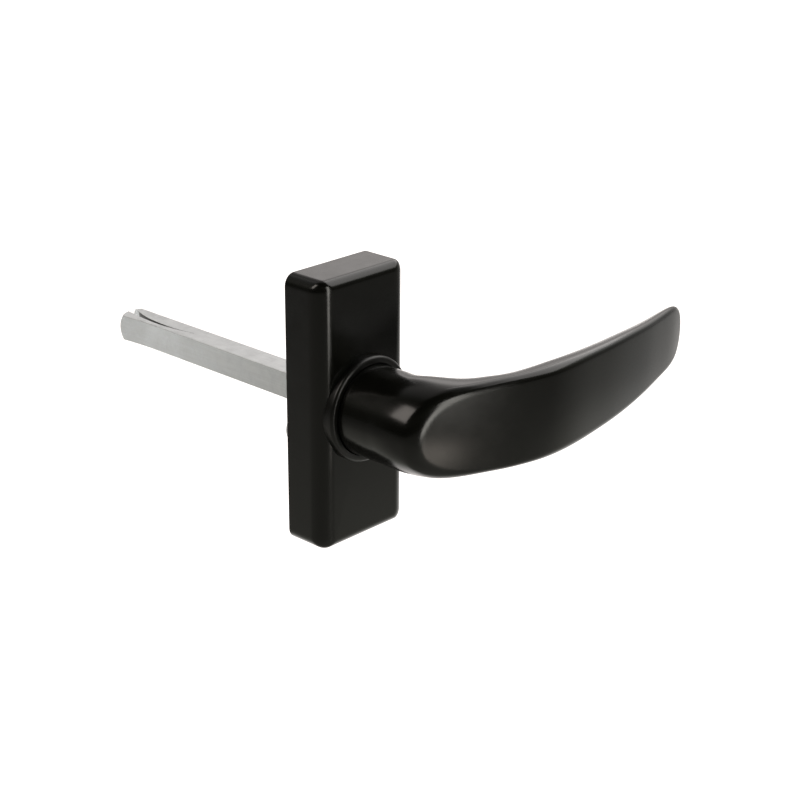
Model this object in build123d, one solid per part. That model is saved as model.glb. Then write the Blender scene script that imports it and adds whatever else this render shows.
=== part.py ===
from build123d import *
import math
import os

# Window handle: a turning lever on a narrow rectangular plate, with a long
# square spindle that goes through the sash into the lock.
# Millimetres. Origin: spindle axis at the back face of the plate.
# +X: the way the lever points at rest, +Y: into the window, +Z: up.

# ------------------------------------------------------------ driving sizes
PLATE_W = 30.0          # cover across X
PLATE_H = 70.0          # cover along Z
PLATE_D = 12.4          # cover depth along Y
PLATE_CORNER_R = 3.0    # corners seen from the front
PLATE_EDGE_R = 2.8      # rounded front edge
COVER_WALL = 1.5
SPINDLE_SIDE = 7.0      # square spindle across flats
SPINDLE_END_Y = 80.0
SPINDLE_DOME_R = 7.0     # domed end
SPINDLE_START_Y = -22.0
SPINDLE_EDGE_R = 0.15
SLIT_FROM_Y = 52.0
LEG_SPREAD_Y = 64.0     # from here the near leg leans outwards
NECK_R = 11.6
RING_R = 13.6           # collar round the neck
RING_H = 2.1
RING_BORE_R = 11.66
JOURNAL_R = 7.0
JOURNAL_KEY = 6.3       # half width over the two flats that carry the cam
TAIL_R = 6.2
CLIP_GROOVE_R = 5.9
GRUB_R = 2.08
GRUB_Y = -12.3
SLEEVE_R = 12.25
RIVET_R = 1.1
RIVET_X = 7.6
RIVET_Z = 14.7
CAM_SIDE = 15.6
CAM_CORNER_R = 9.6
SCREW_SPACING = 43.0    # fixing screws, along Z
SCREW_HOLE_R = 2.7
SCREW_SINK_R = 4.9
PEG_R = 5.0
PEG_Z = -11.6
PEG_END_Y = 11.6

FRONT_Y = -PLATE_D
SHOULDER_Y = -9.6       # back of the thick part of the neck
BASE_FRONT_Y = -8.7
SEAT_Y = -7.5           # ledge that the bearing plate lies on
FLOOR_Y = -3.0          # floor of the detent pocket
TAIL_END_Y = -0.3

# ------------------------------------------------------------ lever sections
# face of the grip in plan: points (x, y) of a smooth curve
FACE_PLAN = [(-26.0, -33.6), (-18.0, -35.4), (-12.0, -37.1), (-4.0, -39.4), (4.0, -41.8),
             (12.0, -44.2), (20.0, -46.35), (30.0, -47.8), (40.0, -47.46), (50.0, -46.18),
             (60.0, -44.57), (70.0, -42.53), (80.0, -40.1), (90.0, -37.16), (101.0, -33.6),
             (112.0, -29.4)]
# bend from neck to grip: fan of sections about this centre
BEND_C = (22.6, -25.0)
# angle, inner radius, middle radius, outer radius, half height, squareness of the inner half
BEND = [(0.0, 11.0, 22.6, 34.2, 11.62, 2.0), (11.0, 10.15, 22.2, 34.75, 11.95, 2.05),
        (22.0, 9.25, 22.0, 35.2, 11.95, 2.2), (34.0, 8.65, 21.9, 35.0, 11.78, 2.35),
        (48.0, 8.3, 21.77, 34.3, 11.81, 2.45), (62.0, 8.2, 21.63, 33.3, 11.95, 2.5),
        (76.0, 8.3, 21.42, 32.2, 12.06, 2.35), (90.0, 8.5, 21.34, 31.4, 12.04, 2.2)]
# x, thickness behind the face, middle behind the face, half height
GRIP = [(34.0, 12.29, 2.24, 12.04), (46.0, 11.95, 0.87, 11.77), (58.0, 11.31, -0.3, 11.42),
        (70.0, 10.42, -0.88, 10.94), (80.0, 9.39, -1.11, 10.33), (89.0, 8.17, -1.25, 9.86),
        (96.63, 7.04, -1.07, 9.43), (101.27, 6.24, -0.96, 8.79), (104.51, 5.25, -0.88, 7.46),
        (106.25, 4.17, -0.89, 5.59), (107.12, 3.04, -0.98, 3.61)]
TIP_X = 107.5
EDGE_R = 1.9            # softened edge round the grip's face
FACE_SAG = 330.0        # the face is slightly domed: it falls back by z * z / FACE_SAG
DROOP = 1.05            # degrees that the grip hangs below level at rest


def prism_y(sketch, y0, y1):
    """extrude a sketch drawn in (x, z) from y0 to y1"""
    return extrude(Plane.XZ.offset(-y0) * sketch, -(y1 - y0))


def disc(r, y0, y1, x=0.0, z=0.0):
    return prism_y(Pos(x, z) * Circle(r), y0, y1)


def ring(r_out, r_in, y0, y1):
    return disc(r_out, y0, y1) - disc(r_in, y0 - 1, y1 + 1)


def slab(w, h, y0, y1, r=0.0, x=0.0, z=0.0):
    sk = RectangleRounded(w, h, r) if r else Rectangle(w, h)
    return prism_y(Pos(x, z) * sk, y0, y1)


def revolve_y(profile):
    """profile: closed list of (radius, y), turned about the spindle axis"""
    face = make_face(Polyline(*[(r, y) for r, y in profile], close=True))
    return revolve(face, Axis.Y)


def section(origin, direction, middle, inner, outer, half, square=2.0):
    """closed curve in the upright plane that holds direction; square > 2 fills its inner half"""
    pts = []
    n = 24
    for i in range(n):
        t = 2 * math.pi * i / n
        c, s = math.cos(t), math.sin(t)
        p = 2.0 if c >= -1e-9 else square
        r = (abs(c) ** p + abs(s) ** p) ** (-1.0 / p)
        u = middle + (outer - middle if c > 0 else middle - inner) * c * r
        pts.append(Vector(origin[0] + direction[0] * u, origin[1] + direction[1] * u, half * s * r))
    return Wire([Edge.make_spline(pts, periodic=True)])


# ------------------------------------------------------------ lever
face_curve = Edge.make_spline([Vector(x, y, 0) for x, y in FACE_PLAN])


def face_y(x):
    lo, hi = 0.0, 1.0
    for _ in range(40):
        mid = (lo + hi) / 2
        if face_curve.position_at(mid).X < x:
            lo = mid
        else:
            hi = mid
    return face_curve.position_at(lo).Y


sections = [section((0.0, y), (-1.0, 0.0), 0.0, -NECK_R, NECK_R, NECK_R)
            for y in (SHOULDER_Y, -12.0, -14.5, -17.0, -19.5, -22.0)]
for ang, r_in, r_mid, r_out, half, square in BEND:
    a = math.radians(ang)
    sections.append(section(BEND_C, (-math.cos(a), -math.sin(a)), r_mid, r_in, r_out, half, square))
for x, thick, back, half in GRIP:
    ahead = 9.0 * min(1.0, half / 7.5)
    sections.append(section((x, face_y(x)), (0.0, -1.0), -back, -thick, ahead, half, 2.1))

p0, p1 = face_curve.position_at(0), face_curve.position_at(1)
cutter_wire = Wire([face_curve, Edge.make_line(p1, Vector(p1.X, -90, 0)),
                    Edge.make_line(Vector(p1.X, -90, 0), Vector(p0.X, -90, 0)),
                    Edge.make_line(Vector(p0.X, -90, 0), p0)])
cutter = Part() + Solid.make_loft([Pos(0, z * z / FACE_SAG, z) * cutter_wire for z in (-16, -12, -8, -4, 0, 4, 8, 12, 16)])
sections.append(Vertex(TIP_X, face_y(TIP_X) - 0.6, 0))
grip = Part() + Solid.make_loft(sections) - cutter

face_rim = [e for e in grip.edges() if e.length > 200]
grip = Rot(0, DROOP, 0) * fillet(face_rim, EDGE_R)

BORE = SPINDLE_SIDE + 0.06
lever = grip + disc(JOURNAL_R, SHOULDER_Y - 0.2, SEAT_Y)
key = disc(JOURNAL_R, SEAT_Y - 0.2, -3.35) & slab(2 * JOURNAL_KEY, 20, -9, 0)
lever = lever + key + disc(TAIL_R, -4, TAIL_END_Y)
lever = lever - ring(8.0, CLIP_GROOVE_R, -4.22, -3.33)
lever = lever - slab(BORE, BORE, SPINDLE_START_Y - 0.1, 1)
grub_axis = Plane(origin=(0, GRUB_Y, 0), z_dir=(0, 0, -1))
lever = lever - extrude(grub_axis * Circle(GRUB_R + 0.03), 14)

# ------------------------------------------------------------ spindle
half = SPINDLE_SIDE / 2
end = SPINDLE_END_Y
past = end + 0.5        # the legs are drawn past the end and then cut to the dome
slit_far = [(1.55, past), (1.3, 77.2), (0.45, 74.5), (-0.14, 72.35), (-0.56, 70.3), (-0.82, 68.0),
            (-1.0, 65.5), (-1.13, 62.0), (-0.88, 57.0), (0.0, SLIT_FROM_Y)]
slit_near = [(-0.2, SLIT_FROM_Y), (-1.14, 57.0), (-1.74, 61.5), (-1.95, 65.6), (-1.8, 69.0), (-1.5, 72.3),
             (-1.05, 75.6), (-0.45, past)]
near_side = [(-4.6, past), (-4.33, 77.6), (-3.93, 73.4), (-3.6, 69.0), (-half, LEG_SPREAD_Y)]


def path(points):
    return Edge.make_spline([Vector(x, y, 0) for x, y in points])


def line(a, b):
    return Edge.make_line(Vector(*a), Vector(*b))


plan = make_face([
    line((-half, SPINDLE_START_Y), (half, SPINDLE_START_Y)),
    line((half, SPINDLE_START_Y), (half, past)),
    line((half, past), slit_far[0]),
    path(slit_far),
    line(slit_far[-1], slit_near[0]),
    path(slit_near),
    line(slit_near[-1], near_side[0]),
    path(near_side),
    line(near_side[-1], (-half, SPINDLE_START_Y)),
])
spindle = Pos(0, 0, -half) * extrude(plan, SPINDLE_SIDE, dir=(0, 0, 1))
dome = Pos(0.3, end + 0.04 - SPINDLE_DOME_R, 0) * Sphere(SPINDLE_DOME_R)
spindle = spindle & (slab(30, 30, SPINDLE_START_Y - 5, end + 0.04 - SPINDLE_DOME_R) + dome)
long_edges = [e for e in spindle.edges().filter_by(GeomType.LINE) if e.length > 60]
spindle = fillet(long_edges, SPINDLE_EDGE_R)
grub_screw = extrude(grub_axis.offset(half + 0.04) * Circle(GRUB_R), 7.2)
socket = extrude(grub_axis.offset(half + 0.04 + 7.2 - 2.6) * RegularPolygon(1.44, 6), 4)
grub_screw = grub_screw - socket
grub_screw = chamfer(grub_screw.edges().filter_by(GeomType.CIRCLE).group_by(Axis.Z)[-1], 0.5)

# ------------------------------------------------------------ cover and collar
cover = slab(PLATE_W, PLATE_H, FRONT_Y, 0, PLATE_CORNER_R)
cover = fillet(cover.faces().sort_by(Axis.Y)[0].edges(), PLATE_EDGE_R)
inner_w, inner_h = PLATE_W - 2 * COVER_WALL, PLATE_H - 2 * COVER_WALL
hollow = slab(inner_w, inner_h, FRONT_Y + COVER_WALL, 1, PLATE_CORNER_R - COVER_WALL + 0.2)
hollow = fillet(hollow.faces().sort_by(Axis.Y)[0].edges(), 1.0)
cover = cover - hollow - disc(SLEEVE_R + 0.05, FRONT_Y - 1, FRONT_Y + 3)

top = FRONT_Y - RING_H
collar_ring = revolve_y([(RING_BORE_R, top), (RING_R, top), (RING_R, FRONT_Y - 0.02), (SLEEVE_R, FRONT_Y - 0.02),
                         (SLEEVE_R, FRONT_Y + 1.53), (SLEEVE_R + 0.45, FRONT_Y + 1.53),
                         (SLEEVE_R + 0.2, FRONT_Y + 2.1), (RING_BORE_R, FRONT_Y + 2.1)])
rims = collar_ring.edges().filter_by(GeomType.CIRCLE).group_by(Axis.Y)[0].sort_by(SortBy.RADIUS)
collar_ring = fillet(rims[-1], 0.95)
rims = collar_ring.edges().filter_by(GeomType.CIRCLE).group_by(Axis.Y)[0].sort_by(SortBy.RADIUS)
collar_ring = fillet(rims[0], 0.3)

# ------------------------------------------------------------ base plate and detent
base_w, base_h = inner_w - 0.1, inner_h - 0.1
base_plate = slab(base_w, base_h, BASE_FRONT_Y, 0, 2.3)
base_plate = base_plate - slab(22.4, 32.6, BASE_FRONT_Y - 1, SEAT_Y, 1.2)
base_plate = base_plate - slab(21.0, 19.4, SEAT_Y - 1, FLOOR_Y, 0.5) - slab(16.8, 25.6, SEAT_Y - 1, FLOOR_Y, 0.5)
base_plate = base_plate - disc(TAIL_R + 0.06, FLOOR_Y - 1, 1)
for s in (-1, 1):
    z = s * SCREW_SPACING / 2
    base_plate = base_plate - disc(SCREW_HOLE_R, -20, 1, 0, z)
    sink = Cone(SCREW_SINK_R, SCREW_HOLE_R, SCREW_SINK_R - SCREW_HOLE_R, align=(Align.CENTER, Align.CENTER, Align.MIN))
    base_plate = base_plate - Pos(0, BASE_FRONT_Y, z) * Rot(-90, 0, 0) * sink
    base_plate = base_plate - slab(20.0, 3.4, BASE_FRONT_Y - 1, -1.8, 0.8, 0, s * 29.4)
    base_plate = base_plate - slab(10.0, 2.0, -7.6, -1.6, 0, 0, s * (base_h / 2))
    for t in (-1, 1):
        base_plate = base_plate - disc(RIVET_R + 0.03, -8, -4.4, t * RIVET_X, s * RIVET_Z)
peg = disc(PEG_R, -0.5, PEG_END_Y, 0, PEG_Z)
peg = fillet(peg.faces().sort_by(Axis.Y)[-1].edges(), 0.9)
base_plate = base_plate + peg

bearing_plate = slab(22.2, 32.4, BASE_FRONT_Y, SEAT_Y, 1.1) - disc(JOURNAL_R + 0.06, -10, 0)
plate_rivets = Part()
for s in (-1, 1):
    for t in (-1, 1):
        bearing_plate = bearing_plate - disc(RIVET_R + 0.03, -10, 0, t * RIVET_X, s * RIVET_Z)
        one = disc(RIVET_R, BASE_FRONT_Y - 0.05, -4.5, t * RIVET_X, s * RIVET_Z)
        head = disc(1.9, BASE_FRONT_Y - 0.65, BASE_FRONT_Y - 0.01, t * RIVET_X, s * RIVET_Z)
        head = fillet(head.faces().sort_by(Axis.Y)[0].edges(), 0.5)
        plate_rivets = plate_rivets + (one + head)

thrust_washer = ring(11.3, JOURNAL_R + 0.08, SHOULDER_Y + 0.05, BASE_FRONT_Y - 0.05)
detent_cam = (slab(CAM_SIDE, CAM_SIDE, -7.45, -4.25) & disc(CAM_CORNER_R, -7.45, -4.25))
detent_cam = detent_cam - (disc(JOURNAL_R + 0.03, -9, 0) & slab(2 * JOURNAL_KEY + 0.06, 20, -9, 0))
retaining_ring = ring(8.2, CLIP_GROOVE_R + 0.02, -4.2, -3.4)
gap = prism_y(make_face(Polyline((0, 0), (5.2, -9.6), (-5.2, -9.6), close=True)), -5, -3)
retaining_ring = retaining_ring - gap


def leaf(side):
    x = side * (CAM_SIDE / 2 + 0.05 + 0.25)
    strip = Pos(x, -5.85, 0) * Box(0.5, 2.9, 24.0)
    return strip


detent_spring_left = leaf(-1)
detent_spring_right = leaf(1)

# bowed steel strips that grip the cover's end walls
cover_clips = Part()
for s in (-1, 1):
    bow = Edge.make_three_point_arc(Vector(0, -7.3, 32.55), Vector(0, -4.6, 33.47), Vector(0, -1.9, 32.55))
    low = Edge.make_three_point_arc(Vector(0, -7.15, 32.2 + 0.28), Vector(0, -4.6, 33.1), Vector(0, -2.05, 32.2 + 0.28))
    w = Wire([bow, Edge.make_line(bow @ 1, low @ 1), low, Edge.make_line(low @ 0, bow @ 0)])
    strip = Pos(-4.4, 0, 0) * extrude(Face(w), 8.8, dir=(1, 0, 0))
    cover_clips = cover_clips + (strip if s > 0 else mirror(strip, Plane.XY))

nodes = {
    "lever": lever, "spindle": spindle, "grub_screw": grub_screw, "cover": cover,
    "collar_ring": collar_ring, "base_plate": base_plate, "bearing_plate": bearing_plate,
    "plate_rivets": plate_rivets, "thrust_washer": thrust_washer, "detent_cam": detent_cam,
    "detent_spring_left": detent_spring_left, "detent_spring_right": detent_spring_right,
    "retaining_ring": retaining_ring, "cover_clips": cover_clips,
}
os.makedirs("parts", exist_ok=True)
for name, solid in nodes.items():
    bb = solid.bounding_box()
    print(name, round(solid.volume, 1), len(solid.solids()), solid.is_valid,
          [round(v, 2) for v in (bb.min.X, bb.max.X, bb.min.Y, bb.max.Y, bb.min.Z, bb.max.Z)])
    export_step(solid, "parts/" + name + ".step")
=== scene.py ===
import math

import bpy
import numpy as np
from mathutils import Matrix, Vector


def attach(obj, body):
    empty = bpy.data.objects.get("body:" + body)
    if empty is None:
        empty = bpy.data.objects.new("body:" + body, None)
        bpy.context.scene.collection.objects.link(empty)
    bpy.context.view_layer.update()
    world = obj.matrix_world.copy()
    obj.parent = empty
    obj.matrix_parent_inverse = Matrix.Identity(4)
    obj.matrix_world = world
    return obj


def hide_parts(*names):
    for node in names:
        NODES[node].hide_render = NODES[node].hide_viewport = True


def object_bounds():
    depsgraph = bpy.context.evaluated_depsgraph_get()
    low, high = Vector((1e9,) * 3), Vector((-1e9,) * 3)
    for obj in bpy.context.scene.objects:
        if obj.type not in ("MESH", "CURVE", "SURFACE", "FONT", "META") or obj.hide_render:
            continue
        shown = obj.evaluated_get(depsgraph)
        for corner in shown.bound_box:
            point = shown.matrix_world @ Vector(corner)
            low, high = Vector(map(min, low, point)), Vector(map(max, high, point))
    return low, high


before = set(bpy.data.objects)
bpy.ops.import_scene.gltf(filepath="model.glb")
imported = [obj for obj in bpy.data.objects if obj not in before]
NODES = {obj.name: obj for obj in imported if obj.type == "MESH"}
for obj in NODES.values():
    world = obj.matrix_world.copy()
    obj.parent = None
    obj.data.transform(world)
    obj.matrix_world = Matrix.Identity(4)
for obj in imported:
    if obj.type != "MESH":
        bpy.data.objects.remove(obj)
CAD_BOX = [[float(v) for v in p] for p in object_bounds()]
MM = 0.001
scene = bpy.context.scene

# ---------------------------------------------------------------- camera
cam = bpy.data.cameras.new("camera")
cam.sensor_width = 36.0
cam.lens = 81.3695
cam.clip_start = 0.01
cam.clip_end = 50.0
cam_obj = bpy.data.objects.new("camera", cam)
scene.collection.objects.link(cam_obj)
right = Vector((0.68645823, -0.72714871, 0.00546372))
up = Vector((0.26399655, 0.25621055, 0.92987202))
back = Vector((-0.6775551, -0.6368759, 0.36784259))
rot = Matrix((right, up, back)).transposed().to_4x4()
cam_obj.matrix_world = Matrix.Translation(Vector((-295.957, -302.285, 165.833)) * MM) @ rot
scene.camera = cam_obj
scene.view_settings.view_transform = "Standard"
scene.view_settings.look = "None"


# ---------------------------------------------------------------- material helpers
class Mat:
    """a node material built on one Principled shader"""

    def __init__(self, name):
        self.m = bpy.data.materials.new(name)
        self.m.use_nodes = True
        self.nt = self.m.node_tree
        self.p = self.nt.nodes["Principled BSDF"]
        self.co = self.nt.nodes.new("ShaderNodeTexCoord").outputs["Object"]
        self.bumps = None

    def set(self, **kw):
        for k, v in kw.items():
            self.p.inputs[k.replace("_", " ")].default_value = v
        return self

    def node(self, kind, **kw):
        n = self.nt.nodes.new(kind)
        for k, v in kw.items():
            setattr(n, k, v)
        return n

    def link(self, a, b):
        self.nt.links.new(a, b)

    def stretched(self, sx, sy, sz):
        n = self.node("ShaderNodeMapping")
        n.inputs["Scale"].default_value = (sx, sy, sz)
        self.link(self.co, n.inputs["Vector"])
        return n.outputs["Vector"]

    def noise(self, scale, detail=3.0, rough=0.5, vector=None, distortion=0.0):
        n = self.node("ShaderNodeTexNoise")
        n.inputs["Scale"].default_value = scale
        n.inputs["Detail"].default_value = detail
        n.inputs["Roughness"].default_value = rough
        n.inputs["Distortion"].default_value = distortion
        self.link(vector or self.co, n.inputs["Vector"])
        return n.outputs["Fac"]

    def voronoi(self, scale, feature="F1", vector=None):
        n = self.node("ShaderNodeTexVoronoi", feature=feature)
        n.inputs["Scale"].default_value = scale
        self.link(vector or self.co, n.inputs["Vector"])
        return n.outputs["Distance"]

    def ramp(self, fac, stops):
        n = self.node("ShaderNodeValToRGB")
        e = n.color_ramp.elements
        while len(e) < len(stops):
            e.new(0.5)
        for el, (pos, col) in zip(e, stops):
            el.position = pos
            el.color = (*col, 1.0)
        self.link(fac, n.inputs["Fac"])
        return n.outputs["Color"]

    def span(self, fac, lo, hi, a=0.3, b=0.7):
        n = self.node("ShaderNodeMapRange")
        n.inputs["From Min"].default_value = a
        n.inputs["From Max"].default_value = b
        n.inputs["To Min"].default_value = lo
        n.inputs["To Max"].default_value = hi
        self.link(fac, n.inputs["Value"])
        return n.outputs["Result"]

    def mix(self, fac, a, b, blend="MIX"):
        n = self.node("ShaderNodeMix", data_type="RGBA", blend_type=blend)
        self.link(fac, n.inputs["Factor"])
        self.link(a, n.inputs["A"])
        self.link(b, n.inputs["B"])
        return n.outputs["Result"]

    def bump(self, height, distance, strength=1.0):
        n = self.node("ShaderNodeBump")
        n.inputs["Strength"].default_value = strength
        n.inputs["Distance"].default_value = distance
        self.link(height, n.inputs["Height"])
        if self.bumps is not None:
            self.link(self.bumps, n.inputs["Normal"])
        self.bumps = n.outputs["Normal"]
        self.link(self.bumps, self.p.inputs["Normal"])

    def to(self, out, socket):
        self.link(out, self.p.inputs[socket])


def black_coat(name, low, high, r_lo, r_hi, peel=0.4e-5):
    """satin black stoved coat: faint orange peel, slight changes of tone and gloss"""
    m = Mat(name)
    m.set(Specular_IOR_Level=0.5)
    m.to(m.ramp(m.noise(90, 4, 0.55), [(0.35, low), (0.65, high)]), "Base Color")
    m.to(m.span(m.noise(240, 5, 0.6), r_lo, r_hi), "Roughness")
    m.bump(m.noise(620, 2.0, 0.45), peel)
    m.bump(m.noise(4200, 2.0, 0.5), 0.4e-6)
    return m


def drawn_steel(name, tones, r_lo, r_hi, streak_axis="y", mottle=260, grain=2.0e-6, metal=1.0):
    """plated or plain steel with mottled tone and fine drawing lines along one axis"""
    m = Mat(name)
    m.set(Metallic=metal)
    s = [2600.0, 2600.0, 2600.0]
    s["xyz".index(streak_axis)] = 70.0
    lines = m.noise(1.0, 3, 0.6, m.stretched(*s))
    cloud = m.noise(mottle, 5, 0.62, distortion=0.35)
    a = m.ramp(cloud, tones)
    b = m.ramp(lines, [(0.3, (0.86, 0.86, 0.86)), (0.7, (1.0, 1.0, 1.0))])
    n = m.node("ShaderNodeMix", data_type="RGBA", blend_type="MULTIPLY")
    n.inputs["Factor"].default_value = 0.55
    m.link(a, n.inputs["A"])
    m.link(b, n.inputs["B"])
    m.to(n.outputs["Result"], "Base Color")
    m.to(m.span(cloud, r_lo, r_hi), "Roughness")
    m.bump(lines, grain)
    m.bump(m.noise(1500, 3, 0.5), 2.0e-6)
    return m


def slit_painted_shade(m, walls_mm, tone):
    """paints shade onto the walls inside the spindle's slit, found by their place: a flat darker tone where shade falls
    """
    xyz = m.node("ShaderNodeSeparateXYZ")
    m.link(m.co, xyz.inputs[0])
    inside = None
    for axis, lo, hi in walls_mm:
        for op, edge in (("GREATER_THAN", lo), ("LESS_THAN", hi)):
            t = m.node("ShaderNodeMath", operation=op)
            m.link(xyz.outputs[axis], t.inputs[0])
            t.inputs[1].default_value = edge * 0.001
            if inside is None:
                inside = t.outputs[0]
            else:
                both = m.node("ShaderNodeMath", operation="MULTIPLY")
                m.link(inside, both.inputs[0])
                m.link(t.outputs[0], both.inputs[1])
                inside = both.outputs[0]
    mix = m.node("ShaderNodeMix", data_type="RGBA")
    m.link(inside, mix.inputs["Factor"])
    m.link(m.p.inputs["Base Color"].links[0].from_socket, mix.inputs["A"])
    mix.inputs["B"].default_value = (*tone, 1.0)
    m.to(mix.outputs["Result"], "Base Color")
    return m


def moulded(name, low, high, r_lo, r_hi):
    m = Mat(name)
    m.to(m.ramp(m.noise(150, 3, 0.5), [(0.35, low), (0.65, high)]), "Base Color")
    m.to(m.span(m.noise(500, 3, 0.5), r_lo, r_hi), "Roughness")
    m.bump(m.voronoi(5200), 1.5e-6)
    return m


def casting(name, tones, r_lo, r_hi):
    m = Mat(name)
    m.set(Metallic=0.9)
    m.to(m.ramp(m.noise(180, 5, 0.6, distortion=0.5), tones), "Base Color")
    m.to(m.span(m.noise(700, 4, 0.6), r_lo, r_hi), "Roughness")
    m.bump(m.noise(2400, 4, 0.6), 1.4e-5)
    return m


MATS = {
    "lever": black_coat("lever_black_coat", (0.0030, 0.0032, 0.0022), (0.0044, 0.0046, 0.0034), 0.17, 0.21),
    "cover": black_coat("cover_black_coat", (0.0030, 0.0032, 0.0022), (0.0044, 0.0046, 0.0034), 0.17, 0.22),
    "collar_ring": moulded("collar_black_nylon", (0.0028, 0.0029, 0.0022), (0.0042, 0.0043, 0.0034), 0.30, 0.38),
    # the spindle's slit walls get painted shade: a flat grey tone placed by position where shade falls
    "spindle": slit_painted_shade(drawn_steel("spindle_zinc", [(0.25, (0.74, 0.76, 0.77)), (0.5, (0.86, 0.88, 0.89)), (0.75, (0.95, 0.97, 0.98))], 0.50, 0.66, metal=0.8),
                         (("X", -2.1, 1.2), ("Y", 52.0, 76.6), ("Z", -3.4, 3.4)), (0.30, 0.30, 0.30)),
    "base_plate": casting("base_zinc_casting", [(0.3, (0.38, 0.38, 0.37)), (0.5, (0.46, 0.46, 0.45)), (0.7, (0.53, 0.53, 0.52))], 0.48, 0.62),
    "bearing_plate": drawn_steel("bearing_plain_steel", [(0.3, (0.42, 0.42, 0.42)), (0.7, (0.52, 0.52, 0.51))], 0.34, 0.46, "z"),
    "plate_rivets": drawn_steel("rivet_plain_steel", [(0.3, (0.44, 0.44, 0.43)), (0.7, (0.55, 0.55, 0.54))], 0.3, 0.42, "y"),
    "thrust_washer": moulded("washer_white_nylon", (0.66, 0.65, 0.60), (0.74, 0.73, 0.68), 0.42, 0.52),
    "detent_cam": drawn_steel("cam_dark_steel", [(0.3, (0.12, 0.12, 0.12)), (0.7, (0.19, 0.19, 0.185))], 0.38, 0.5, "x"),
    "grub_screw": drawn_steel("grub_dark_steel", [(0.3, (0.10, 0.10, 0.10)), (0.7, (0.17, 0.17, 0.165))], 0.36, 0.5, "z"),
    "detent_spring_left": drawn_steel("spring_blued_left", [(0.3, (0.24, 0.24, 0.27)), (0.7, (0.34, 0.34, 0.36))], 0.26, 0.36, "z"),
    "detent_spring_right": drawn_steel("spring_blued_right", [(0.3, (0.24, 0.24, 0.27)), (0.7, (0.34, 0.34, 0.36))], 0.26, 0.36, "z"),
    "retaining_ring": drawn_steel("ring_blued", [(0.3, (0.22, 0.22, 0.24)), (0.7, (0.31, 0.31, 0.33))], 0.28, 0.38, "x"),
    "cover_clips": drawn_steel("clip_spring_steel", [(0.3, (0.38, 0.38, 0.39)), (0.7, (0.50, 0.50, 0.50))], 0.28, 0.38, "x"),
}
for node_name, mat in MATS.items():
    ob = NODES[node_name]
    ob.data.materials.clear()
    ob.data.materials.append(mat.m)

# ---------------------------------------------------------------- mesh helpers
def make_object(name, verts_mm, faces, body, mat, sharp_deg=38.0):
    me = bpy.data.meshes.new(name)
    me.from_pydata([tuple(float(c) * MM for c in v) for v in verts_mm], [], faces)
    me.update()
    me.polygons.foreach_set("use_smooth", [True] * len(me.polygons))
    me.set_sharp_from_angle(angle=math.radians(sharp_deg))
    me.materials.append(mat.m)
    ob = bpy.data.objects.new(name, me)
    scene.collection.objects.link(ob)
    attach(ob, body)
    return ob


def skin(loops, closed=False):
    """faces between closed loops of equal length; a loop of one point is a pole"""
    verts, faces, starts = [], [], []
    for lp in loops:
        starts.append(len(verts))
        verts.extend(lp)
    pairs = [(a, a + 1) for a in range(len(loops) - 1)]
    if closed:
        pairs.append((len(loops) - 1, 0))
    for a, b in pairs:
        na, nb = len(loops[a]), len(loops[b])
        sa, sb = starts[a], starts[b]
        n = max(na, nb)
        for i in range(n):
            j = (i + 1) % n
            if na == 1:
                faces.append((sb + i, sb + j, sa))
            elif nb == 1:
                faces.append((sb, sa + j, sa + i))
            else:
                faces.append((sb + i, sb + j, sa + j, sa + i))
    return verts, faces


def cubic(x, y):
    """natural cubic spline; y may hold several columns"""
    x = np.asarray(x, float)
    y = np.asarray(y, float)
    n = len(x)
    h = np.diff(x)
    y2 = y.reshape(n, -1)
    a = np.zeros((n, n))
    b = np.zeros_like(y2)
    a[0, 0] = a[-1, -1] = 1.0
    for i in range(1, n - 1):
        a[i, i - 1] = h[i - 1]
        a[i, i] = 2 * (h[i - 1] + h[i])
        a[i, i + 1] = h[i]
        b[i] = 3 * ((y2[i + 1] - y2[i]) / h[i] - (y2[i] - y2[i - 1]) / h[i - 1])
    c = np.linalg.solve(a, b)
    hh = h[:, None]
    d = (c[1:] - c[:-1]) / (3 * hh)
    bb = (y2[1:] - y2[:-1]) / hh - hh * (2 * c[:-1] + c[1:]) / 3

    def f(t):
        t = np.asarray(t, float)
        i = np.clip(np.searchsorted(x, t.ravel()) - 1, 0, n - 2)
        u = (t.ravel() - x[i])[:, None]
        r = y2[i] + bb[i] * u + c[i] * u ** 2 + d[i] * u ** 3
        return r.reshape(t.shape + y.shape[1:])

    return f


# ---------------------------------------------------------------- lever
# a body swept from the round neck into the flat grip, cut by the domed face,
# with a rim that is rounder at the neck than at the tip
FACE_PLAN = [(-26.0, -33.6), (-18.0, -35.4), (-12.0, -37.1), (-4.0, -39.4), (4.0, -41.8),
             (12.0, -44.2), (20.0, -46.35), (30.0, -47.8), (40.0, -47.46), (50.0, -46.18),
             (60.0, -44.57), (70.0, -42.53), (80.0, -40.1), (90.0, -37.16), (101.0, -33.6),
             (112.0, -29.4)]
face_y = cubic([p[0] for p in FACE_PLAN], [p[1] for p in FACE_PLAN])
BEND_C = (22.6, -25.0)
NECK_R = 11.6
# angle, inner, middle and outer radius, half height, squareness of the inner half
BEND = [(0.0, 11.0, 22.6, 34.2, 11.62, 2.0), (11.0, 10.15, 22.2, 34.75, 11.95, 2.05),
        (22.0, 9.25, 22.0, 35.2, 11.95, 2.2), (34.0, 8.65, 21.9, 35.0, 11.78, 2.35),
        (48.0, 8.3, 21.77, 34.3, 11.81, 2.45), (62.0, 8.2, 21.63, 33.3, 11.95, 2.5),
        (76.0, 8.3, 21.42, 32.2, 12.06, 2.35), (90.0, 8.5, 21.34, 31.4, 12.04, 2.2)]
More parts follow.
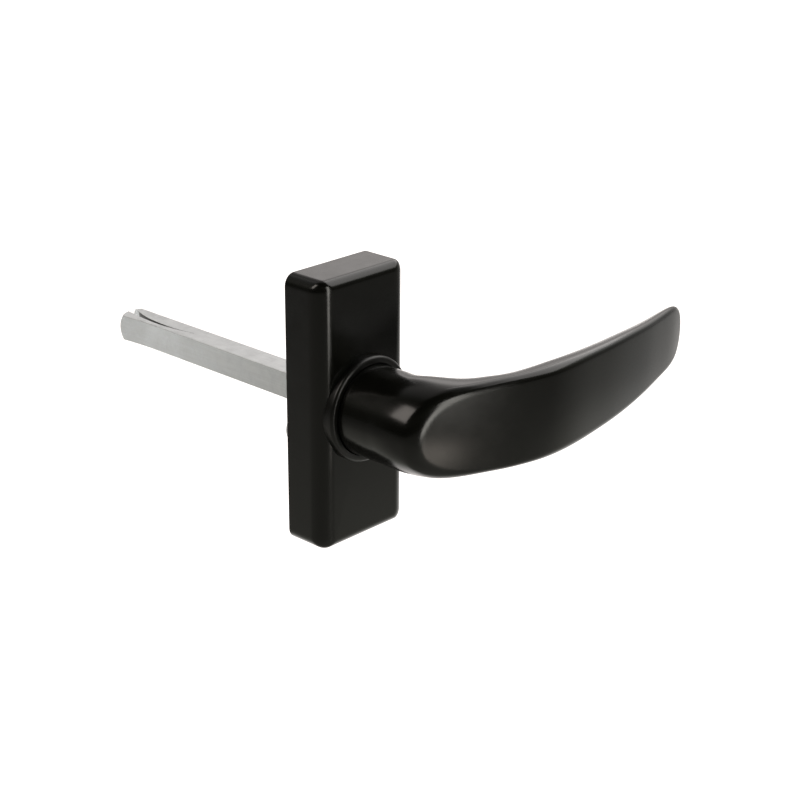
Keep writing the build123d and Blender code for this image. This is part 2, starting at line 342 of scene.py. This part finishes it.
# x, thickness behind the face, middle behind the face, half height
GRIP = [(34.0, 12.29, 2.24, 12.04), (46.0, 11.95, 0.87, 11.77), (58.0, 11.31, -0.3, 11.42),
        (70.0, 10.42, -0.88, 10.94), (80.0, 9.39, -1.11, 10.33), (89.0, 8.17, -1.25, 9.86),
        (96.63, 7.04, -1.07, 9.43), (101.27, 6.24, -0.96, 8.79), (104.51, 5.25, -0.88, 7.46),
        (106.25, 4.17, -0.89, 5.59), (107.12, 3.04, -0.98, 3.61)]
TIP_X = 107.5
FACE_SAG = 330.0
DROOP = math.radians(1.05)

# each station: middle point, inner radius, outer radius, direction, half height, squareness
ST = [(0.0, y, NECK_R, NECK_R, math.pi, NECK_R, 2.0) for y in (-9.6, -12.0, -14.5, -17.0, -19.5, -22.0)]
for ang, ri, rm, ro, half_h, sq in BEND:
    a_ = math.radians(ang)
    ST.append((BEND_C[0] - math.cos(a_) * rm, BEND_C[1] - math.sin(a_) * rm, rm - ri, ro - rm, math.pi + a_, half_h, sq))
for gx, thick, behind, half_h in GRIP:
    ahead = 9.0 * min(1.0, half_h / 7.5)
    ST.append((gx, float(face_y(gx)) + behind, thick - behind, ahead + behind, 1.5 * math.pi, half_h, 2.1))
ST.append((TIP_X, float(face_y(TIP_X)) - 0.6, 0.0, 0.0, 1.5 * math.pi, 0.0, 2.1))
ST = np.array(ST)
T = np.concatenate([[0.0], np.cumsum(np.sqrt(np.diff(ST[:, 0]) ** 2 + np.diff(ST[:, 1]) ** 2 + np.diff(ST[:, 5]) ** 2))])
station = cubic(T, ST)


def pars(t):
    p = station(t)
    t = np.asarray(t)
    straight = t < T[4]
    p[..., 0] = np.where(straight, 0.0, p[..., 0])
    for k, v in ((2, NECK_R), (3, NECK_R), (4, math.pi), (5, NECK_R), (6, 2.0)):
        p[..., k] = np.where(straight, v, p[..., k])
    p[..., 4] = np.clip(p[..., 4], math.pi, 1.5 * math.pi)
    return p


def inside_f(p, x, y, z):
    dx, dy = np.cos(p[..., 4]), np.sin(p[..., 4])
    u = (x - p[..., 0]) * dx + (y - p[..., 1]) * dy
    w = np.maximum(p[..., 5], 1e-6) / NECK_R
    r = np.where(u > 0, p[..., 3], p[..., 2])
    q = np.where(u > 0, 2.0, p[..., 6])
    c = np.abs(u) * w / np.maximum(r, 1e-6)
    s = np.abs(z) / NECK_R
    return (c ** q + s ** q + 1e-12) ** (2 / q) - w * w


def around(t):
    pa, pb = pars(np.maximum(t - 0.05, 0)), pars(np.minimum(t + 0.05, T[-1]))
    return pars(t), pa, pb, np.hypot(pb[..., 0] - pa[..., 0], pb[..., 1] - pa[..., 1])


RIM = ([-12, 8, 24, 45, 90, 105], [2.3, 2.3, 2.1, 2.0, 1.85, 1.5])


def solid_f(pre, x, y, z):
    """below 0 inside the grip"""
    p, pa, pb, gap = pre
    h = 0.02
    f = inside_f(p, x, y, z)
    gx = (inside_f(p, x + h, y, z) - inside_f(p, x - h, y, z)) / (2 * h)
    gy = (inside_f(p, x, y + h, z) - inside_f(p, x, y - h, z)) / (2 * h)
    gz = (inside_f(p, x, y, z + h) - inside_f(p, x, y, z - h)) / (2 * h)
    gl = (inside_f(pb, x, y, z) - inside_f(pa, x, y, z)) / np.maximum(gap, 1e-3)
    gl = np.where(p[..., 0] > 60, gl, 0.0)
    a = f / np.sqrt(gx ** 2 + gy ** 2 + gz ** 2 + gl ** 2 + 1e-12)
    slope = (face_y(x + 0.1) - face_y(x - 0.1)) / 0.2
    b = (face_y(x) + z ** 2 / FACE_SAG - y) / np.sqrt(1 + slope ** 2)
    r = np.interp(x, *RIM)
    return np.hypot(np.maximum(a + r, 0), np.maximum(b + r, 0)) + np.minimum(np.maximum(a + r, b + r), 0) - r


def centre(t):
    """a point well inside the section"""
    p = pars(t)
    dx, dy = np.cos(p[..., 4]), np.sin(p[..., 4])
    lo = np.full(p.shape[:-1], -40.0)
    hi = np.full(p.shape[:-1], 60.0)
    for _ in range(30):
        mid = (lo + hi) / 2
        front = (p[..., 1] + dy * mid) < face_y(np.clip(p[..., 0] + dx * mid, -26, 112))
        hi = np.where(front, mid, hi)
        lo = np.where(front, lo, mid)
    u_face = np.where(p[..., 1] > -26, 60.0, lo)
    k = 1.5
    top = -k * np.log(np.exp(-u_face / k) + np.exp(-p[..., 3] / k))
    u = (top - p[..., 2]) / 2
    return p[..., 0] + dx * u, p[..., 1] + dy * u


tt = np.linspace(T[-2] - 1.0, T[-1], 400)
cx, cy = centre(tt)
fv = solid_f(around(tt), cx, cy, np.zeros_like(cx))
k_end = int(np.argmax(fv > 0)) if (fv > 0).any() else len(tt) - 1
t_end = tt[max(k_end - 1, 0)]
cap = 5.0
body_t = np.linspace(T[5], t_end - cap, 250)
cap_t = t_end - cap * (1 - np.sin(np.linspace(0, math.pi / 2, 34)))[1:-1]
ts = np.concatenate([[T[1], T[2], T[3], T[4]], body_t, cap_t])
N = 256
theta = np.linspace(0, 2 * math.pi, N, endpoint=False)
tg = np.repeat(ts[:, None], N, 1)
cxs, cys = centre(ts)
dirs = pars(ts)[:, 4]
dxs, dys = np.cos(dirs)[:, None], np.sin(dirs)[:, None]
ct, st_ = np.cos(theta)[None, :], np.sin(theta)[None, :]
lo = np.zeros_like(tg)
hi = np.full_like(tg, 30.0)
pre = around(tg)
for _ in range(30):
    mid = (lo + hi) / 2
    outside = solid_f(pre, cxs[:, None] + dxs * ct * mid, cys[:, None] + dys * ct * mid, st_ * mid) > 0
    hi = np.where(outside, mid, hi)
    lo = np.where(outside, lo, mid)
GX, GY, GZ = cxs[:, None] + dxs * ct * lo, cys[:, None] + dys * ct * lo, st_ * lo
pole_x, pole_y = centre(np.array([t_end]))


def hang(x, y, z):
    return (float(x * math.cos(DROOP) + z * math.sin(DROOP)), max(float(y), CAD_BOX[0][1] / MM), float(-x * math.sin(DROOP) + z * math.cos(DROOP)))


def turned(r, y):
    """loop round the spindle axis; r may be a function of the angle"""
    return [(-q * math.cos(a), y, q * math.sin(a)) for q, a in ((r(a) if callable(r) else r, a) for a in theta)]


def key_r(a):
    return min(7.0, 6.3 / max(abs(math.cos(a)), 1e-6))


def bore_r(a):
    return 3.53 / max(abs(math.cos(a)), abs(math.sin(a)))


loops = [[(0.0, -22.1, 0.0)], turned(bore_r, -22.1), turned(bore_r, -0.55), turned(lambda a: bore_r(a) + 0.25, -0.3),
         turned(5.95, -0.3), turned(6.2, -0.55), turned(6.2, -3.33), turned(5.9, -3.33), turned(5.9, -4.22),
         turned(key_r, -4.22), turned(key_r, -7.5), turned(7.0, -7.5), turned(7.0, -9.6), turned(11.3, -9.6),
         turned(11.6, -9.9)]
for i in range(len(ts)):
    loops.append([hang(GX[i, j], GY[i, j], GZ[i, j]) for j in range(N)])
loops.append([hang(pole_x[0], pole_y[0], 0.0)])
lv, lf = skin(loops)
lever = make_object("lever_body", lv, lf, "handle", MATS["lever"])



def carve(ob, tools):
    """cut closed meshes out of a piece, keeping its smooth shading"""
    made = []
    for k, (v, f) in enumerate(tools):
        tm = bpy.data.meshes.new("tool_%d" % k)
        tm.from_pydata([tuple(float(c) * MM for c in q) for q in v], [], f)
        tool = bpy.data.objects.new("tool_%d" % k, tm)
        scene.collection.objects.link(tool)
        cut = ob.modifiers.new("cut_%d" % k, "BOOLEAN")
        cut.operation = "DIFFERENCE"
        cut.solver = "EXACT"
        cut.object = tool
        made.append(tool)
    out = bpy.data.meshes.new_from_object(ob.evaluated_get(bpy.context.evaluated_depsgraph_get()))
    ob.modifiers.clear()
    ob.data = out
    out.polygons.foreach_set("use_smooth", [True] * len(out.polygons))
    out.set_sharp_from_angle(angle=math.radians(38))
    for tool in made:
        bpy.data.objects.remove(tool)


def rod(r, axis, at, lo_, hi_, n=64):
    """closed cylinder along y or z as a cutting tool"""
    rows = []
    for v in (lo_, hi_):
        row = []
        for k in range(n):
            a = 2 * math.pi * k / n
            if axis == "z":
                row.append((at[0] + r * math.cos(a), at[1] + r * math.sin(a), v))
            else:
                row.append((at[0] + r * math.cos(a), v, at[1] - r * math.sin(a)))
        rows.append(row)
    mid_lo = (at[0], at[1], lo_) if axis == "z" else (at[0], lo_, at[1])
    mid_hi = (at[0], at[1], hi_) if axis == "z" else (at[0], hi_, at[1])
    v, f = skin([[mid_lo]] + rows + [[mid_hi]])
    return v, [tuple(reversed(q)) for q in f]


# the hole for the grub screw, in the under side of the neck
carve(lever, [rod(2.11, "z", (0.0, -12.3), -13.0, -2.0, 48)])
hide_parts("lever")

# ---------------------------------------------------------------- cover
# pressed shell: long front edges rounder than the short ones
CW, CH, CD, CR, WALL = 15.0, 35.0, 12.4, 3.0, 1.5
LONG_R, SHORT_R = 4.3, 2.6
NX, NZ, NC = 56, 132, 18


def frame_loop(a, b, rc):
    """rounded rectangle as (x, z, weight); weight 0 on the long sides, 1 on the short ones"""
    pts = []
    corners = [(a - rc, b - rc), (-(a - rc), b - rc), (-(a - rc), -(b - rc)), (a - rc, -(b - rc))]
    for q in range(4):
        ccx, ccz = corners[q]
        for k in range(NC + 1):
            ang = math.pi / 2 * (q + k / NC)
            w = k / NC if q % 2 == 0 else 1 - k / NC
            pts.append((ccx + rc * math.cos(ang), ccz + rc * math.sin(ang), w * w * (3 - 2 * w)))
        n_str, w = (NX, 1.0) if q % 2 == 0 else (NZ, 0.0)
        nq = (q + 1) % 4
        ang = math.pi / 2 * (q + 1)
        nxt = (corners[nq][0] + rc * math.cos(ang), corners[nq][1] + rc * math.sin(ang))
        last = pts[-1]
        for k in range(1, n_str):
            f = k / n_str
            pts.append((last[0] + (nxt[0] - last[0]) * f, last[1] + (nxt[1] - last[1]) * f, w))
    return pts


def rounded_rows(a, b, rc, r_long, r_short, y_front, sides):
    """loops of a block with rounded front edges, from its back edge to the middle of its front"""
    rows = [[(x, yy, z) for x, z, _ in frame_loop(aa, bb, rc)] for aa, bb, yy in sides]
    steps = 20
    for k in range(steps + 1):
        ph = math.pi / 2 * k / steps
        c1 = 1 - math.cos(ph)
        row = frame_loop(a - r_long * c1, b - r_short * c1, rc - 0.7 * rc * c1)
        rows.append([(x, y_front + (r_long + (r_short - r_long) * w) * (1 - math.sin(ph)), z) for x, z, w in row])
    rows.append([(0.0, y_front, 0.0)])
    return rows


outer = rounded_rows(CW, CH, CR, LONG_R, SHORT_R, -CD,
                     [(CW - 0.12, CH - 0.12, 0.0), (CW, CH, -0.15), (CW, CH, -4.0), (CW, CH, -7.6)])
inner = rounded_rows(CW - WALL, CH - WALL, 1.7, 1.0, 1.0, -CD + WALL,
                     [(CW - WALL + 0.04, CH - WALL + 0.04, 0.0), (CW - WALL, CH - WALL, -0.1), (CW - WALL, CH - WALL, -5.0)])
cv, cf = skin(inner[::-1] + outer)
cover = make_object("cover_shell", cv, cf, "rose", MATS["cover"])
carve(cover, [rod(12.3, "y", (0.0, 0.0), -14.0, -9.0, 180)])
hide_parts("cover")

# ---------------------------------------------------------------- collar
# its foot reaches down over the rounded long edges of the cover
def turn_profile(profile, n=200):
    return [[(r * math.cos(2 * math.pi * k / n), y, -r * math.sin(2 * math.pi * k / n)) for k in range(n)] for r, y in profile]


prof = [(11.66, -10.3), (11.66, -14.2)]
prof += [(11.96 - 0.3 * math.cos(a), -14.2 - 0.3 * math.sin(a)) for a in (math.pi / 2 * k / 6 for k in range(1, 7))]
prof += [(12.3, -14.5)]
prof += [(12.65 + 0.95 * math.sin(a), -13.55 - 0.95 * math.cos(a)) for a in (math.pi / 2 * k / 12 for k in range(0, 13))]
prof += [(13.6, -13.0), (13.6, -11.24), (12.25, -11.24), (12.25, -10.87), (12.7, -10.87), (12.45, -10.3)]
kv, kf = skin(turn_profile(prof), closed=True)
collar = make_object("collar_shell", kv, kf, "rose", MATS["collar_ring"])
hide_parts("collar_ring")

# ---------------------------------------------------------------- stage
VIEW_FLAT = Vector((0.7287, 0.6849, 0.0))   # level direction away from the camera
FLOOR_Z = -0.30
S = 2.7
fl = bpy.data.meshes.new("floor")
fl.from_pydata([(-S, -S, FLOOR_Z), (S, -S, FLOOR_Z), (S, S, FLOOR_Z), (-S, S, FLOOR_Z)], [], [(0, 1, 2, 3)])
floor = bpy.data.objects.new("floor", fl)
scene.collection.objects.link(floor)


def vmath(nt, op, vec, other=None):
    n = nt.nodes.new("ShaderNodeVectorMath")
    n.operation = op
    if other is not None:
        n.inputs[1].default_value = other
    nt.links.new(vec, n.inputs[0])
    return n.outputs["Value" if op in ("DOT_PRODUCT", "LENGTH") else "Vector"]


def table(nt, val, stops, top):
    """brightness (0..top) read from a list of (place, brightness)"""
    n = nt.nodes.new("ShaderNodeValToRGB")
    e = n.color_ramp.elements
    while len(e) < len(stops):
        e.new(0.5)
    for el, (pos, v) in zip(e, stops):
        el.position = (pos + 1) / 2
        el.color = (v / top, v / top, v / top, 1.0)
    m = nt.nodes.new("ShaderNodeMapRange")
    m.inputs["From Min"].default_value = -1.0
    m.inputs["From Max"].default_value = 1.0
    nt.links.new(val, m.inputs["Value"])
    nt.links.new(m.outputs["Result"], n.inputs["Fac"])
    k = nt.nodes.new("ShaderNodeMath")
    k.operation = "MULTIPLY"
    k.inputs[1].default_value = top
    nt.links.new(n.outputs["Color"], k.inputs[0])
    return k.outputs[0]


# brightness of the studio by the cosine of the angle from the view direction:
# a lit white sweep behind the handle, dim towards the camera
SWEEP_NEAR = [(-1.0, 0.10), (-0.5, 0.12), (-0.3, 0.09), (0.02, 0.20), (0.3, 0.36), (0.45, 0.66), (0.72, 1.05), (0.86, 1.2), (1.0, 1.4)]
SWEEP_FAR = [(-1.0, 0.07), (-0.47, 0.07), (-0.3, 0.08), (0.02, 0.015), (0.3, 0.08), (0.45, 0.15), (0.73, 0.28), (0.87, 1.12), (1.0, 1.4)]
SWEEP_HIGH = [(-1.0, 0.05), (-0.35, 0.05), (-0.05, 0.12), (0.21, 0.25), (0.45, 0.5), (0.6, 0.8), (0.8, 1.3), (1.0, 1.6)]
TINT = [(-1.0, (1.0, 1.0, 0.82)), (0.2, (1.0, 1.0, 0.86)), (0.6, (1.0, 1.0, 0.97)), (0.85, (1.0, 0.965, 0.935)), (1.0, (1.0, 0.95, 0.925))]

# the floor glows: its emission is painted light, bright behind the handle and dim towards the camera, over a dark grey
# base
fmat = Mat("floor_painted_glow")
fmat.set(Roughness=0.9)
fmat.p.inputs["Base Color"].default_value = (0.30, 0.30, 0.295, 1)
fmat.p.inputs["Specular IOR Level"].default_value = 0.1
fmat.p.inputs["Emission Color"].default_value = (1, 1, 1, 1)
flat = vmath(fmat.nt, "NORMALIZE", vmath(fmat.nt, "MULTIPLY", fmat.co, (1, 1, 0)))
floor_cos = vmath(fmat.nt, "DOT_PRODUCT", flat, VIEW_FLAT)
away = fmat.span(vmath(fmat.nt, "LENGTH", vmath(fmat.nt, "MULTIPLY", fmat.co, (1, 1, 0))), 0.0, 1.0, 0.56, 0.84)
near_far = fmat.node("ShaderNodeMix", data_type="FLOAT")
fmat.link(away, near_far.inputs["Factor"])
fmat.link(table(fmat.nt, floor_cos, SWEEP_NEAR, 2.0), near_far.inputs["A"])
fmat.link(table(fmat.nt, floor_cos, SWEEP_FAR, 2.0), near_far.inputs["B"])
fmat.to(near_far.outputs["Result"], "Emission Strength")
fl.materials.append(fmat.m)

world = bpy.data.worlds.new("world")
scene.world = world
world.use_nodes = True
wn = world.node_tree
bg = wn.nodes["Background"]
bg.inputs["Color"].default_value = (1, 1, 1, 1)
wco = wn.nodes.new("ShaderNodeTexCoord").outputs["Generated"]
wflat = vmath(wn, "NORMALIZE", vmath(wn, "MULTIPLY", wco, (1, 1, 0)))
world_cos = vmath(wn, "DOT_PRODUCT", wflat, VIEW_FLAT)
side = table(wn, world_cos, SWEEP_HIGH, 2.0)
height = table(wn, vmath(wn, "DOT_PRODUCT", wco, (0, 0, 1)), [(-1.0, 0.6), (0.0, 0.4), (0.2, 0.42), (0.33, 1.0), (0.48, 1.0), (0.72, 0.3), (1.0, 0.12)], 1.0)
mul = wn.nodes.new("ShaderNodeMath")
mul.operation = "MULTIPLY"
wn.links.new(side, mul.inputs[0])
wn.links.new(height, mul.inputs[1])
# a dark flag behind, high on the right
flag = vmath(wn, "DOT_PRODUCT", wco, (0.424, 0.734, 0.530))
shade = wn.nodes.new("ShaderNodeMapRange")
for sock, v in (("From Min", 0.952), ("From Max", 0.975), ("To Min", 1.0), ("To Max", 0.3)):
    shade.inputs[sock].default_value = v
wn.links.new(flag, shade.inputs["Value"])
lit = wn.nodes.new("ShaderNodeMath")
lit.operation = "MULTIPLY"
wn.links.new(mul.outputs[0], lit.inputs[0])
wn.links.new(shade.outputs["Result"], lit.inputs[1])
wn.links.new(lit.outputs[0], bg.inputs["Strength"])


def tinted(nt, val, sock):
    n = nt.nodes.new("ShaderNodeValToRGB")
    e = n.color_ramp.elements
    while len(e) < len(TINT):
        e.new(0.5)
    for el, (pos, col) in zip(e, TINT):
        el.position = (pos + 1) / 2
        el.color = (*col, 1.0)
    m = nt.nodes.new("ShaderNodeMapRange")
    m.inputs["From Min"].default_value = -1.0
    m.inputs["From Max"].default_value = 1.0
    nt.links.new(val, m.inputs["Value"])
    nt.links.new(m.outputs["Result"], n.inputs["Fac"])
    nt.links.new(n.outputs["Color"], sock)


tinted(fmat.nt, floor_cos, fmat.p.inputs["Emission Color"])
tinted(wn, world_cos, bg.inputs["Color"])


def softbox(name, az, el, dist, w, h, radiance, target=(0.0, 0.0, 0.0)):
    """az is measured from -Y towards +X"""
    a, e = math.radians(az), math.radians(el)
    d = Vector((math.sin(a) * math.cos(e), -math.cos(a) * math.cos(e), math.sin(e)))
    light = bpy.data.lights.new(name, "AREA")
    light.shape = "RECTANGLE"
    light.size = w
    light.size_y = h
    light.energy = radiance * math.pi * w * h
    ob = bpy.data.objects.new(name, light)
    scene.collection.objects.link(ob)
    ob.location = Vector(target) + d * dist
    ob.rotation_euler = (-d).to_track_quat("-Z", "Y").to_euler()
    return ob


def card(name, place_mm, toward_mm, w_mm, h_mm, radiance):
    """small reflector close to the handle"""
    a, b = Vector(place_mm) * MM, Vector(toward_mm) * MM
    light = bpy.data.lights.new(name, "AREA")
    light.shape = "RECTANGLE"
    light.size, light.size_y = w_mm * MM, h_mm * MM
    light.energy = radiance * math.pi * light.size * light.size_y
    ob = bpy.data.objects.new(name, light)
    scene.collection.objects.link(ob)
    ob.location = a
    ob.rotation_euler = (b - a).to_track_quat("-Z", "Y").to_euler()
    return ob


softbox("softbox_left", -112, 42, 1.2, 0.50, 0.70, 3.3).data.color = (1.0, 0.92, 0.85)
softbox("softbox_right", 80, 43, 1.3, 1.5, 0.80, 1.9).data.color = (1.0, 0.97, 0.95)
strip = softbox("softbox_strip", 4, 0, 0.62, 0.15, 0.57, 4.9)
strip.location.z = 0.088
strip.data.color = (1.0, 0.97, 0.90)
card("card_low_front", (20, -145, -54), (-5, -40, -5), 18, 15, 3.2).data.color = (1.0, 0.90, 0.80)
card("card_low_back", (-85, 190, -52), (-3.5, 45, 0), 80, 60, 1.9)
